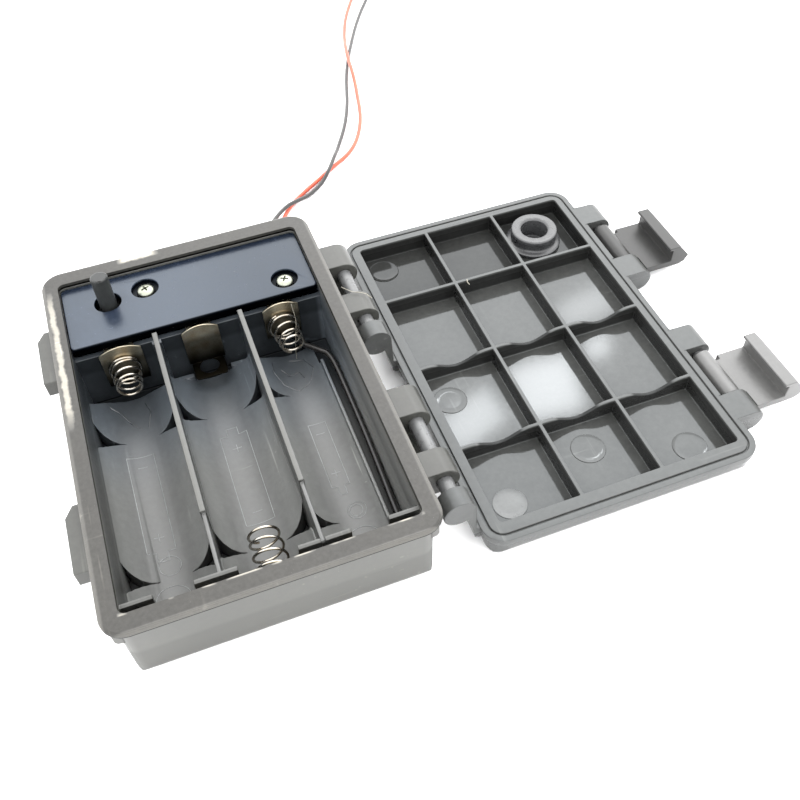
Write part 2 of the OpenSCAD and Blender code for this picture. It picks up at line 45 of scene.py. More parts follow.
# ------------------------------------------------------------------ camera
def make_camera():
    az, el, roll = math.radians(-18.838), math.radians(51.11), math.radians(-2.108)
    zc = Vector((math.sin(az) * math.cos(el), -math.cos(az) * math.cos(el), math.sin(el)))
    xc = Vector((0, 0, 1)).cross(zc).normalized()
    yc = zc.cross(xc)
    x2 = math.cos(roll) * xc + math.sin(roll) * yc
    y2 = -math.sin(roll) * xc + math.cos(roll) * yc
    data = bpy.data.cameras.new("camera")
    data.lens, data.sensor_width, data.sensor_fit = 39.92, 36.0, "HORIZONTAL"
    data.clip_start, data.clip_end = 0.005, 10
    cam = bpy.data.objects.new("camera", data)
    m = Matrix((x2, y2, zc)).transposed().to_4x4()
    m.translation = Vector((-2.787, -109.02, 141.72)) * MM
    cam.matrix_world = m
    scene.collection.objects.link(cam)
    scene.camera = cam
    return cam

camera = make_camera()

# ------------------------------------------------------------------ node helpers
class Mat:
    """A small builder for procedural materials."""
    def __init__(self, name):
        self.m = bpy.data.materials.new(name)
        self.m.use_nodes = True
        self.t = self.m.node_tree
        self.b = self.t.nodes["Principled BSDF"]
        self.co = self.t.nodes.new("ShaderNodeTexCoord").outputs["Object"]
    def set(self, **kw):
        for k, v in kw.items():
            self.b.inputs[k.replace("_", " ")].default_value = v
        return self
    def node(self, kind, **kw):
        n = self.t.nodes.new(kind)
        for k, v in kw.items():
            setattr(n, k, v)
        return n
    def link(self, a, b):
        self.t.links.new(a, b)
    def mapping(self, scale=(1, 1, 1), rot=(0, 0, 0), loc=(0, 0, 0)):
        n = self.node("ShaderNodeMapping")
        n.inputs["Scale"].default_value = scale
        n.inputs["Rotation"].default_value = rot
        n.inputs["Location"].default_value = loc
        self.link(self.co, n.inputs["Vector"])
        return n.outputs["Vector"]
    def noise(self, scale, detail=3.0, rough=0.5, vec=None, distortion=0.0):
        n = self.node("ShaderNodeTexNoise")
        n.inputs["Scale"].default_value = scale
        n.inputs["Detail"].default_value = detail
        n.inputs["Roughness"].default_value = rough
        n.inputs["Distortion"].default_value = distortion
        self.link(vec or self.co, n.inputs["Vector"])
        return n.outputs["Fac"]
    def voronoi(self, scale, vec=None, feature="F1"):
        n = self.node("ShaderNodeTexVoronoi", feature=feature)
        n.inputs["Scale"].default_value = scale
        self.link(vec or self.co, n.inputs["Vector"])
        return n.outputs["Distance"]
    def ramp(self, fac, stops, interp="LINEAR"):
        n = self.node("ShaderNodeValToRGB")
        n.color_ramp.interpolation = interp
        els = n.color_ramp.elements
        while len(els) > 1:
            els.remove(els[-1])
        for i, (p, c) in enumerate(stops):
            e = els[0] if i == 0 else els.new(p)
            e.position = p
            e.color = (c[0], c[1], c[2], 1) if hasattr(c, "__len__") else (c, c, c, 1)
        self.link(fac, n.inputs["Fac"])
        return n.outputs["Color"]
    def mix(self, fac, a, b, mode="MIX"):
        n = self.node("ShaderNodeMix", data_type="RGBA", blend_type=mode)
        for s, v in ((n.inputs[0], fac), (n.inputs[6], a), (n.inputs[7], b)):
            if hasattr(v, "links"):
                self.link(v, s)
            elif hasattr(v, "__len__"):
                s.default_value = (*v, 1) if len(v) == 3 else v
            else:
                s.default_value = v
        return n.outputs[2]
    def math(self, op, a, b=0.0, c=0.0, clamp=False):
        n = self.node("ShaderNodeMath", operation=op, use_clamp=clamp)
        for s, v in zip(n.inputs, (a, b, c)):
            if hasattr(v, "links"):
                self.link(v, s)
            else:
                s.default_value = v
        return n.outputs[0]
    def sep(self):
        n = self.node("ShaderNodeSeparateXYZ")
        self.link(self.co, n.inputs[0])
        return n.outputs
    def bump(self, height, strength=0.2, distance=0.0001, normal=None):
        n = self.node("ShaderNodeBump")
        n.inputs["Strength"].default_value = strength
        n.inputs["Distance"].default_value = distance
        self.link(height, n.inputs["Height"])
        if normal is not None:
            self.link(normal, n.inputs["Normal"])
        return n.outputs["Normal"]
    def out(self, color=None, rough=None, normal=None):
        for name, v in (("Base Color", color), ("Roughness", rough), ("Normal", normal)):
            if v is not None:
                self.link(v, self.b.inputs[name])
        return self.m

def ease(a, value, lo, hi, out0=0.0, out1=1.0):
    """A soft step of a socket between two values."""
    n = a.node("ShaderNodeMapRange", interpolation_type="SMOOTHSTEP")
    for k, v in (("From Min", lo), ("From Max", hi), ("To Min", out0), ("To Max", out1)):
        n.inputs[k].default_value = v
    a.link(value, n.inputs["Value"])
    return n.outputs["Result"]

def plastic(name, base, dark, rough, grain=0.12, scuff=0.35, dust=0.25, warm=(1, 1, 1), spec=0.5, tone=None, gloss=None, speck=0.30, pits=0.0, rvar=0.18, tint=None, hue=None):
    """Moulded black plastic: mottled tone, fine grain, pale scratches and specks of dust."""
    a = Mat(name).set(Specular_IOR_Level=spec)
    if tint is not None:
        a.set(Specular_Tint=(*tint, 1))
    big = a.noise(90, 3, 0.55)
    mid = a.noise(900, 4, 0.6)
    fine = a.noise(9000, 2, 0.5)
    col = a.ramp(big, [(0.3, dark), (0.7, base)])
    col = a.mix(0.35, col, a.ramp(mid, [(0.35, [x * 0.75 for x in base]), (0.7, [x * 1.35 for x in base])]))
    # scratches run in two directions, cut up by a broad mask
    s1 = a.ramp(a.noise(700, 2, 0.5, a.mapping((1, 0.05, 1), (0, 0, 0.5))), [(0.66, 0.0), (0.74, 1.0)])
    s2 = a.ramp(a.noise(800, 2, 0.5, a.mapping((0.05, 1, 1), (0, 0, 0.3))), [(0.68, 0.0), (0.76, 1.0)])
    mask = a.ramp(a.noise(60, 2, 0.5), [(0.48, 0.0), (0.72, 1.0)])
    sc = a.mix(1.0, a.mix(1.0, s1, s2, "ADD"), mask, "MULTIPLY")
    sc = a.mix(1.0, sc, (scuff, scuff, scuff), "MULTIPLY")
    col = a.mix(sc, col, [min(1, x * 4 + 0.03) * w for x, w in zip(base, warm)])
    # hue and tone carry painted light and shade by position; tone also scales the specular level
    if hue is not None:
        col = a.mix(1.0, col, hue(a), "MULTIPLY")
    if tone is not None:
        t = tone(a)
        col = a.mix(1.0, col, t, "MULTIPLY")
        a.link(a.math("MULTIPLY", a.math("MINIMUM", t, 1.6), spec), a.b.inputs["Specular IOR Level"])
    specks = a.ramp(a.voronoi(1500), [(0.04, 1.0), (0.09, 0.0)])
    dm = a.ramp(a.noise(240, 3, 0.6), [(0.52, 0.0), (0.68, dust)])
    col = a.mix(a.mix(1.0, specks, dm, "MULTIPLY"), col, (speck, speck * 0.98, speck * 0.93))
    r = a.math("ADD", a.math("MULTIPLY", a.math("SUBTRACT", mid, 0.5), rvar), gloss(a) if gloss else rough)
    r = a.math("ADD", r, a.math("MULTIPLY", sc, 0.25), clamp=True)
    h = a.math("ADD", a.math("MULTIPLY", fine, 0.5), a.math("MULTIPLY", mid, 0.8 + pits))
    return a.out(col, r, a.bump(h, grain, 0.00004))

def metal(name, base, tint, rough, aniso=0.0):
    """Plated metal: bright, with warm tarnish in patches and a fine grain."""
    a = Mat(name).set(Metallic=1.0)
    big = a.noise(420, 3, 0.6)
    fine = a.noise(6000, 3, 0.6)
    col = a.ramp(big, [(0.42, base), (0.70, tint)])
    col = a.mix(0.3, col, a.ramp(fine, [(0.3, [x * 0.6 for x in base]), (0.7, [min(1, x * 1.1) for x in base])]))
    r = a.math("ADD", a.math("MULTIPLY", a.math("SUBTRACT", fine, 0.5), 0.25), rough, clamp=True)
    return a.out(col, r, a.bump(fine, 0.10, 0.00003))

def upright(a, floor=0.35):
    """Upright faces darker than the ones that look at the sky."""
    g = a.node("ShaderNodeNewGeometry")
    n = a.node("ShaderNodeSeparateXYZ")
    a.link(g.outputs["Normal"], n.inputs[0])
    return ease(a, n.outputs[2], 0.03, 0.12, floor, 1.0)
def case_painted_light(a):
    """Painted light and shade on the case: bay floors painted paler than the far bays, the pockets and the partition,
    which are painted in shade.
    """
    x, y, z = a.sep()
    # slopes of the cradles are lifted, since the sky light reaches them less
    slope = ease(a, a.math("ABSOLUTE", a.math("SUBTRACT", a.math("PINGPONG", a.math("ADD", x, 0.0087), 0.0083), 0.0083)), 0.0030, 0.0072, 1.0, 1.6)
    # painted shade: the far bays darker
    far = ease(a, y, -0.004, 0.0130, 1.0, 0.60)
    inside = a.math("MULTIPLY", far, slope)
    deep = a.math("MULTIPLY", ease(a, z, 0.0168, 0.0160), a.math("MULTIPLY", ease(a, a.math("ABSOLUTE", x), 0.0252, 0.0248), ease(a, y, -0.0384, -0.0380)))
    # painted shade beyond the partition; upright faces painted darker, the right wall painted brighter
    beyond = ease(a, y, 0.0193, 0.0197, 1.0, 0.85)
    right = ease(a, x, 0.0235, 0.0245, 0.45, 1.15)
    g = a.node("ShaderNodeNewGeometry")
    n = a.node("ShaderNodeSeparateXYZ")
    a.link(g.outputs["Normal"], n.inputs[0])
    flat = ease(a, n.outputs[2], 0.03, 0.12)
    up = a.math("ADD", flat, a.math("MULTIPLY", a.math("SUBTRACT", 1.0, flat), right))
    inside = a.math("MULTIPLY", inside, a.math("MULTIPLY", beyond, up))
    # painted light: the bay floors 1.7 to 2 times brighter low down
    floor = ease(a, z, 0.0090, 0.0050, 1.7, 2.0)
    low = ease(a, z, 0.0112, 0.0098)
    floor = a.math("ADD", a.math("MULTIPLY", low, floor), a.math("SUBTRACT", 1.0, low))
    # painted shade in the pockets
    pocket = ease(a, z, 0.00215, 0.00195, 1.0, 0.22)
    # painted shade: tops of the dividers and lips painted darker, the near lip most
    top = a.math("MULTIPLY", ease(a, z, 0.0150, 0.0155), a.math("MULTIPLY", flat, ease(a, y, 0.0190, 0.0186)))
    floor = a.math("ADD", floor, a.math("MULTIPLY", top, ease(a, y, -0.0359, -0.0357, -0.70, -0.15)))
    inside = a.math("MULTIPLY", inside, a.math("MULTIPLY", floor, pocket))
    # painted light: outside the cavity the near wall and the top painted brighter, the outer side walls darker
    return a.math("ADD", a.math("MULTIPLY", inside, deep), a.math("MULTIPLY", a.math("SUBTRACT", 1.0, deep), ease(a, a.math("ABSOLUTE", x), 0.0268, 0.0276, 1.25, 0.95)))
def blue_shade(a):
    """Bluer where the case is shaded inside, warmer outside."""
    x, y, z = a.sep()
    deep = a.math("MULTIPLY", ease(a, z, 0.0168, 0.0160), a.math("MULTIPLY", ease(a, a.math("ABSOLUTE", x), 0.0252, 0.0248), ease(a, y, -0.0384, -0.0380)))
    far = a.math("MULTIPLY", deep, ease(a, y, -0.010, 0.016, 0.35, 1.0))
    return a.ramp(far, [(0.0, (1.02, 1.02, 0.97)), (0.35, (0.99, 1.0, 1.02)), (1.0, (0.84, 0.98, 1.20))])
def case_gloss(a):
    x, y, z = a.sep()
    return ease(a, z, 0.0095, 0.0080, 0.36, 0.50)
def lid_painted_shade(a):
    x, y, z = a.sep()
    # painted shade: the tray walls painted dark, the tray floors a little darker, the far row of cells darker
    tray = a.math("MULTIPLY", a.math("MULTIPLY", ease(a, x, 0.0390, 0.0394), ease(a, x, 0.0890, 0.0886)),
                  a.math("MULTIPLY", ease(a, y, -0.0380, -0.0376), ease(a, y, 0.0395, 0.0391)))
    low = a.math("MULTIPLY", a.math("MULTIPLY", tray, ease(a, z, 0.0008, 0.0011)), ease(a, z, 0.00545, 0.0050))
    t = a.math("SUBTRACT", 1.0, a.math("MULTIPLY", low, a.math("SUBTRACT", 1.0, ease(a, z, 0.0021, 0.0017, 0.34, 0.94))))
    top_row = a.math("MULTIPLY", low, ease(a, y, 0.0205, 0.0225))
    return a.math("MULTIPLY", t, a.math("SUBTRACT", 1.0, a.math("MULTIPLY", top_row, 0.42)))
def seal_mottle_and_painted_light(a):
    """Random mottle of the seal, with painted light: a painted highlight on the pale outer edge, whitened patches
    that are painted highlights, and a painted shadow as a dark line where it meets the case.
    """
    x, y, z = a.sep()
    mott = a.ramp(a.noise(1500, 3, 0.6), [(0.35, 0.93), (0.65, 1.07)])
    # painted highlight along the outer edge of the seal
    ex = ease(a, a.math("ABSOLUTE", x), 0.0270, 0.0276)
    ey = ease(a, a.math("ABSOLUTE", y), 0.0411, 0.0417)
    edge = a.math("MAXIMUM", ex, ey)
    t = a.math("ADD", 1.0, a.math("MULTIPLY", edge, 1.3))
    t = a.math("MULTIPLY", t, mott)
    # painted highlights: a whitened streak on the left rim and a patch of glare on the far rim
    wob = a.math("MULTIPLY", a.math("SUBTRACT", a.noise(400, 3, 0.6), 0.5), 0.0012)
    xs = a.math("ADD", x, wob)
    left = a.math("MULTIPLY", a.math("MULTIPLY", ease(a, xs, -0.0273, -0.0268), ease(a, xs, -0.0258, -0.0263)),
                  a.math("MULTIPLY", ease(a, y, -0.001, 0.006), ease(a, y, 0.037, 0.031)))
    far = a.math("MULTIPLY", a.math("MULTIPLY", ease(a, xs, -0.0125, -0.0105), ease(a, xs, -0.0035, -0.0060)), ease(a, a.math("ADD", y, wob), 0.0398, 0.0406))
    # painted highlight: broken bright lines on the inner edge of the near rim
    inner = a.math("MULTIPLY", a.math("MULTIPLY", ease(a, y, -0.0387, -0.0384), ease(a, y, -0.0379, -0.0382)), a.ramp(a.noise(160, 2, 0.5), [(0.50, 0.0), (0.56, 1.0)]))
    inner = a.math("MULTIPLY", inner, ease(a, a.math("ABSOLUTE", x), 0.0250, 0.0245))
    pale = a.math("MAXIMUM", a.math("MAXIMUM", left, a.math("MULTIPLY", far, 1.6)), a.math("MULTIPLY", inner, 1.1))
    t = a.math("ADD", t, a.math("MULTIPLY", pale, 10.0))
    # painted shadow: a dark line at the foot of the seal where it meets the case
    return a.math("MULTIPLY", t, ease(a, z, 0.01783, 0.01793, 0.06, 1.0))
def lid_gloss(a):
    x, y, z = a.sep()
    return a.math("ADD", ease(a, z, 0.0021, 0.0050, 0.075, 0.38), ease(a, z, 0.0011, 0.0008, 0.0, 0.30))
def cover_painted_light(a):
    x, y, z = a.sep()
    # painted shade on the near edge and the sides of the plate; painted light brighter at the left, darker at the
    # right
    t = a.math("MULTIPLY", ease(a, y, 0.0205, 0.0209, 0.15, 1.0), ease(a, z, 0.01655, 0.01675, 0.12, 1.0))
    return a.math("MULTIPLY", t, ease(a, x, -0.024, 0.020, 1.35, 0.88))

M = {}
M["case"] = plastic("case_plastic", (0.046, 0.0465, 0.044), (0.038, 0.0385, 0.0365), 0.36, tone=case_painted_light, gloss=case_gloss, warm=(1, 1, 0.95), hue=blue_shade)
M["lid"] = plastic("lid_plastic", (0.050, 0.0510, 0.0490), (0.040, 0.0408, 0.0392), 0.36, grain=0.05, scuff=0.25, tone=lid_painted_shade, gloss=lid_gloss, dust=0.12, rvar=0.05, tint=(0.92, 0.97, 1.0))
def latch_painted_light(a):
    x, y, z = a.sep()
    # painted light: the near latch painted paler, the far latch darker
    return ease(a, y, -0.010, 0.010, 1.75, 0.72)
M["latch"] = plastic("latch_plastic", (0.042, 0.042, 0.041), (0.034, 0.034, 0.033), 0.36, scuff=0.2, dust=0.1, tone=latch_painted_light)
M["cover"] = plastic("cover_plastic", (0.0085, 0.0125, 0.0220), (0.006, 0.009, 0.016), 0.24, grain=0.03, scuff=0.06, dust=0.6, tone=cover_painted_light, tint=(0.80, 0.90, 1.0))
M["gasket"] = plastic("gasket_rubber", (0.0225, 0.0210, 0.0175), (0.0170, 0.0160, 0.0135), 0.44, grain=0.4, scuff=0.5, dust=0.6, speck=0.16, pits=0.4, tone=seal_mottle_and_painted_light)
M["boot"] = plastic("boot_rubber", (0.046, 0.047, 0.049), (0.036, 0.037, 0.039), 0.28, scuff=0.05, dust=0.1, spec=0.6)
M["stem"] = plastic("stem_plastic", (0.017, 0.0185, 0.0185), (0.012, 0.013, 0.013), 0.38, scuff=0.1, dust=0.2, spec=0.35)

def contact_painted_light(a):
    """By height: darker at the foot, brown on the plate, a painted highlight along the arched edge; the near contacts
    painted brighter.
    """
    x, y, z = a.sep()
    near = ease(a, y, -0.030, -0.034)
    foot = ease(a, z, 0.0058, 0.0105, 0.02, 0.34)
    edge = ease(a, z, 0.0115, 0.0140, 0.0, 0.75)
    t = a.math("ADD", foot, edge)
    return a.math("ADD", t, a.math("MULTIPLY", near, 0.3), clamp=True)
def metal_by(name, base, tint, rough, tone):
    a = Mat(name).set(Metallic=1.0)
    big = a.noise(420, 3, 0.6)
    fine = a.noise(6000, 3, 0.6)
    col = a.ramp(big, [(0.40, base), (0.68, tint)])
    col = a.mix(0.3, col, a.ramp(fine, [(0.3, [x * 0.6 for x in base]), (0.7, [min(1, x * 1.1) for x in base])]))
    # tone: painted shade and highlight by position
    col = a.mix(1.0, col, tone(a), "MULTIPLY")
    r = a.math("ADD", a.math("MULTIPLY", a.math("SUBTRACT", fine, 0.5), 0.25), rough, clamp=True)
    return a.out(col, r, a.bump(fine, 0.10, 0.00003))
M["nickel"] = metal_by("contact_nickel", (0.54, 0.50, 0.39), (0.40, 0.31, 0.19), 0.32, contact_painted_light)
M["spring"] = metal("spring_wire", (0.46, 0.44, 0.40), (0.30, 0.24, 0.17), 0.22)
M["zinc"] = metal("screw_zinc", (0.34, 0.355, 0.30), (0.22, 0.23, 0.17), 0.36)
M["pin"] = plastic("pin_plastic", (0.11, 0.112, 0.113), (0.10, 0.102, 0.103), 0.28, rvar=0.06, scuff=0.1, dust=0.1)
M["brass"] = metal("terminal_brass", (0.78, 0.62, 0.32), (0.62, 0.46, 0.22), 0.30)
# the raised marks painted much paler than the case plastic they are moulded in: a painted highlight along the lines
M["mark"] = plastic("moulded_mark_painted_highlight", (0.27, 0.28, 0.28), (0.19, 0.20, 0.20), 0.42, scuff=0.0, dust=0.0)
M["disc"] = plastic("lid_disc", (0.105, 0.110, 0.110), (0.080, 0.085, 0.085), 0.30, scuff=0.1, dust=0.1)
M["fibre"] = plastic("fibre", (0.34, 0.32, 0.26), (0.28, 0.26, 0.22), 0.5, scuff=0.0, dust=0.0)
M["glue"] = plastic("glue_strand", (0.055, 0.060, 0.064), (0.040, 0.044, 0.047), 0.10, scuff=0.0, dust=0.0, spec=1.0)

def pvc(name, base, deep, rough=0.34):
    a = Mat(name)
    col = a.mix(0.5, a.ramp(a.noise(260, 3, 0.6), [(0.35, deep), (0.65, base)]), a.ramp(a.noise(3000, 3, 0.6), [(0.3, deep), (0.7, base)]))
    r = a.math("ADD", a.math("MULTIPLY", a.math("SUBTRACT", a.noise(1500, 2), 0.5), 0.2), rough, clamp=True)
    return a.out(col, r, a.bump(a.noise(5000, 2), 0.08, 0.00003))
M["red"] = pvc("pvc_red", (0.52, 0.075, 0.030), (0.40, 0.048, 0.020))
M["black"] = pvc("pvc_black", (0.016, 0.015, 0.014), (0.010, 0.009, 0.009), 0.30)

body_of_node = {n: b for b, ns in frame["record"]["behaviour"]["bodies"].items() for n in ns}

def add(name, mesh, mat, body, replaces=()):
    o = bpy.data.objects.new(name, mesh)
    scene.collection.objects.link(o)
    mesh.materials.clear()
    mesh.materials.append(M[mat])
    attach(o, body)
    if replaces:
        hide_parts(*replaces)
    return o

def smooth(mesh, angle=30):
    for p in mesh.polygons:
        p.use_smooth = True
    mesh.set_sharp_from_angle(angle=math.radians(angle))

def bake(o):
    """Applies the modifiers of o."""
    dg = bpy.context.evaluated_depsgraph_get()
    me = bpy.data.meshes.new_from_object(o.evaluated_get(dg))
    o.modifiers.clear()
    old = o.data
    o.data = me
    bpy.data.meshes.remove(old)
    return o

def refined(node, name, mat, bevel, segs=2, angle=32):
    """A copy of a CAD solid with its edges rounded, which stands for it."""
    me = nodes[node].data.copy()
    bm = bmesh.new()
    bm.from_mesh(me)
    bmesh.ops.remove_doubles(bm, verts=bm.verts, dist=2e-6)
    bmesh.ops.recalc_face_normals(bm, faces=bm.faces)
    bm.to_mesh(me)
    bm.free()
    o = bpy.data.objects.new(name, me)
    scene.collection.objects.link(o)
    m = o.modifiers.new("round", "BEVEL")
    m.width, m.segments, m.limit_method, m.angle_limit = bevel * MM, segs, "ANGLE", math.radians(angle)
    m.use_clamp_overlap = False
    m.harden_normals = False
    m.miter_outer = "MITER_ARC"
    bake(o)
    smooth(o.data, 40)
    # wide flat faces keep a flat shading beside their rounded edges
    w = o.modifiers.new("flat", "WEIGHTED_NORMAL")
    w.mode, w.weight, w.keep_sharp = "FACE_AREA", 50, True
    bake(o)
    o.data.materials.clear()
    o.data.materials.append(M[mat])
    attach(o, body_of_node[node])
    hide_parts(node)
    return o

# ------------------------------------------------------------------ cords
RED = [[21.75, 42.4, 9.2], [21.8, 44.2, 9.15], [22, 46.6, 8.7], [22.4, 49.2, 7.8], [23, 52, 6.2],
  [23.9, 55, 4.1], [25.1, 58, 2.2], [26.6, 61.2, 0.95], [28.3, 64.2, 0.62], [30.5, 67, 0.62],
  [33.2, 69.4, 0.62], [36.2, 71.7, 0.62], [39.6, 74.1, 0.62], [43, 76.6, 0.62], [46.4, 79, 0.62],
  [49.5, 81.2, 0.62], [52.1, 83.7, 0.62], [54.6, 87.2, 0.62], [56.8, 91.4, 0.62], [58.7, 96.2, 0.62],
  [60.2, 101.4, 0.62], [61.4, 106.6, 0.62], [62.4, 111, 0.9], [63.1, 114.8, 1.5], [63.7, 118.6, 1.95],
  [64.3, 122.4, 1.95], [65, 126.4, 1.95], [65.9, 130.6, 1.6], [67.1, 135.4, 0.9], [68.8, 141, 0.62],
  [71.2, 147.4, 0.62], [73.9, 153.2, 0.62], [77, 159, 0.62], [80.4, 164.6, 0.62], [84, 169.8, 0.62]]
BLACK = [[20.25, 42.4, 9.2], [20.25, 44.2, 9.15], [20.4, 46.8, 8.7], [20.75, 49.6, 7.8], [21.3, 52.6, 6.3],
  [22.1, 55.8, 4.4], [23.4, 59, 2.9], [25.2, 61.8, 2.1], [27.3, 64, 1.95], [29.8, 65.8, 1.95],
  [32.4, 67.3, 1.4], [35.2, 68.9, 0.75], [38.1, 70.9, 0.62], [40.8, 73.1, 0.9], [42.9, 75.3, 1.7],
  [44.7, 77.9, 1.95], [46.3, 80.7, 1.8], [47.9, 83.7, 1.1], [49.7, 87.2, 0.65], [51.8, 91, 0.62],
  [54, 95.4, 0.62], [56.1, 100.4, 0.62], [57.9, 105.4, 0.62], [59.4, 110.2, 0.62], [60.8, 114.8, 0.62],
  [62.4, 119.4, 0.62], [64.2, 124, 0.62], [66.3, 128.8, 0.62], [68.8, 134.2, 0.62], [71.6, 140, 0.62],
  [74.6, 145.8, 0.62], [77.9, 151.6, 0.62], [81.4, 157.2, 0.62], [85, 162.4, 0.62], [88.8, 167.4, 0.62]]
CHANNEL = [[20.6, -37.3, 3.3], [22, -37.3, 3.3], [23.1, -36.4, 3.2], [23.5, -34.4, 3.1], [23.6, -30, 3],
  [23.65, -25, 3.2], [23.8, -19, 3.6], [23.95, -11, 4], [24, -4, 4.2], [24, 3, 4.3], [23.95, 8, 4.4],
  [23.7, 11, 4.6], [23.15, 13, 4.7], [22.05, 14.3, 4.7], [20.75, 15.7, 4.7], [19.45, 17.1, 4.7], [18.75, 18.5, 4.7],
  [18.7, 20.3, 4.7], [19.2, 21.2, 4.8], [20.5, 21.8, 4.9], [21.9, 23.2, 5.2], [22.6, 25.2, 5.8], [22.9, 28, 6.8],
  [22.6, 31.6, 8], [22, 34.8, 9], [21.75, 36.6, 9.2], [21.75, 37.6, 9.2]]

def catmull(pts, per=6):
    """A smooth line through the points (centripetal weights kept simple: the points are evenly spread)."""
    p = [Vector(q) for q in pts]
    p = [2 * p[0] - p[1]] + p + [2 * p[-1] - p[-2]]
    out = []
    for i in range(1, len(p) - 2):
        for k in range(per):
            t = k / per
            a, b, c, d = p[i - 1], p[i], p[i + 1], p[i + 2]
            out.append(0.5 * ((2 * b) + (c - a) * t + (2 * a - 5 * b + 4 * c - d) * t * t + (3 * b - a - 3 * c + d) * t ** 3))
    out.append(p[-2].copy())
    return out

def tube(name, path, radius, sides=14, cap=True):
    """A round tube along path (metres); radius is one number or one for each point."""
    bm = bmesh.new()
    n = len(path)
    rad = radius if hasattr(radius, "__len__") else [radius] * n
    up, rings = None, []
    for i, p in enumerate(path):
        t = (path[min(i + 1, n - 1)] - path[max(i - 1, 0)]).normalized()
        if up is None:
            up = t.orthogonal().normalized()
        up = (up - up.dot(t) * t).normalized()
        side = t.cross(up)
        rings.append([bm.verts.new(p + rad[i] * (math.cos(2 * math.pi * k / sides) * up + math.sin(2 * math.pi * k / sides) * side)) for k in range(sides)])
    for a, b in zip(rings, rings[1:]):
        for k in range(sides):
            bm.faces.new((a[k], a[(k + 1) % sides], b[(k + 1) % sides], b[k]))
    if cap:
        bm.faces.new(list(reversed(rings[0])))
        bm.faces.new(rings[-1])
    bmesh.ops.recalc_face_normals(bm, faces=bm.faces)
    me = bpy.data.meshes.new(name)
    bm.to_mesh(me)
    bm.free()
    smooth(me, 40)
    return me

def lead(name, pts, mat, node):
    path = [q * MM for q in catmull(pts, 5)]
    o = add(name, tube(name, path, 0.5 * MM, 16), mat, "case", [node])
    return o

lead("lead_red", RED, "red", "red_lead")
lead("lead_black", BLACK, "black", "black_lead")
add("wire_channel", tube("wire_channel", [q * MM for q in catmull(CHANNEL, 6)], 0.6 * MM, 14), "black", "case", ["channel_wire"])

# ------------------------------------------------------------------ mouldings with rounded edges
refined("body_case", "case_moulding", "case", 0.16)
refined("rim_gasket", "rim_seal", "gasket", 0.06)
refined("switch_cover_plate", "cover_plate", "cover", 0.12)
refined("lid_shell", "lid_moulding", "lid", 0.13)
refined("button_boot", "boot", "boot", 0.10)
refined("latch_far", "latch_plate_far", "latch", 0.18)
refined("latch_near", "latch_plate_near", "latch", 0.18)
refined("switch_stem", "stem", "stem", 0.25, 3)
for n in ("contact_far_left", "contact_far_double", "contact_near_double", "contact_near_right"):
    refined(n, n + "_plate", "nickel", 0.05)
for n, m in (("switch_housing", "stem"), ("stem_spring", "nickel"), ("switch_terminals", "brass"), ("inner_red_wire", "red"),
             ("inner_black_wire", "black"), ("lead_grommet", "boot"), ("latch_pin_far", "pin"), ("latch_pin_near", "pin"),
             ("hinge_pin_far", "pin"), ("hinge_pin_near", "pin")):
    refined(n, n + "_fine", m, 0.08)

# ------------------------------------------------------------------ springs
def coil(x, y0, y1, z, r0, r1, turns, wire=0.3, phase=0.0, lean=(0, 0)):
    """Points of a conical spring along Y with a dead turn at each end, in mm."""
    pts, per = [], 30
    n = int(turns * per)
    for i in range(n + 1):
        u = i / n
        # closed first and last turn, open between
        e0, e1 = 1.0 / turns, 0.75 / turns
        if u < e0:
            s = 0.10 * u / e0 * 0.6
        elif u > 1 - e1:
            s = 1 - 0.06 * (1 - u) / e1
        else:
            s = 0.06 + (u - e0) / (1 - e1 - e0) * 0.88
        a = phase + 2 * math.pi * turns * u
        r = r0 + (r1 - r0) * u
        y = y0 + (y1 - y0) * s
        pts.append(Vector((x + lean[0] * s + r * math.cos(a), y, z + lean[1] * s + r * math.sin(a))))
    return pts

for name, node, args in (
        ("coil_far_left", "spring_far_left", dict(x=-16.3, y0=19.1, y1=13.9, z=9.9, r0=3.15, r1=2.25, turns=4.3, phase=0.6)),
        ("coil_far_right", "spring_far_right", dict(x=16.1, y0=19.1, y1=13.5, z=9.9, r0=3.15, r1=2.15, turns=4.4, phase=1.9, lean=(0.5, -0.5))),
        ("coil_near_middle", "spring_near_middle", dict(x=-0.5, y0=-37.6, y1=-27.3, z=9.9, r0=3.15, r1=2.6, turns=5.3, phase=2.4))):
    add(name, tube(name, [q * MM for q in coil(**args)], 0.25 * MM, 12), "spring", "case", [node])

# ------------------------------------------------------------------ moulded marks
def on_cradle(cx):
    return lambda x, y: Vector((x, y, 10.2 - math.sqrt(max(0.0, 64 - (x - cx) ** 2))))
def on_tray(x, y):
    return Vector((x, y, 1.6))
def dense(pts, step=0.5):
    out = []
    for (x0, y0), (x1, y1) in zip(pts, pts[1:]):
        n = max(1, int(math.hypot(x1 - x0, y1 - y0) / step))
        out += [(x0 + (x1 - x0) * k / n, y0 + (y1 - y0) * k / n) for k in range(n)]
    return out + [pts[-1]]
def circle(cx, cy, r, n=36):
    return [(cx + r * math.cos(2 * math.pi * k / n), cy + r * math.sin(2 * math.pi * k / n)) for k in range(n + 1)]
def raised(name, lines, place, mat, body, r=0.07):
    """Thin raised lines that follow a surface."""
    bm = bmesh.new()
    for pts in lines:
        me = tube("tmp", [place(x, y) * MM for x, y in dense(pts)], r * MM, 6)
        bm.from_mesh(me)
        bpy.data.meshes.remove(me)
    me = bpy.data.meshes.new(name)
    bm.to_mesh(me)
    bm.free()
    smooth(me, 60)
    return add(name, me, mat, body)
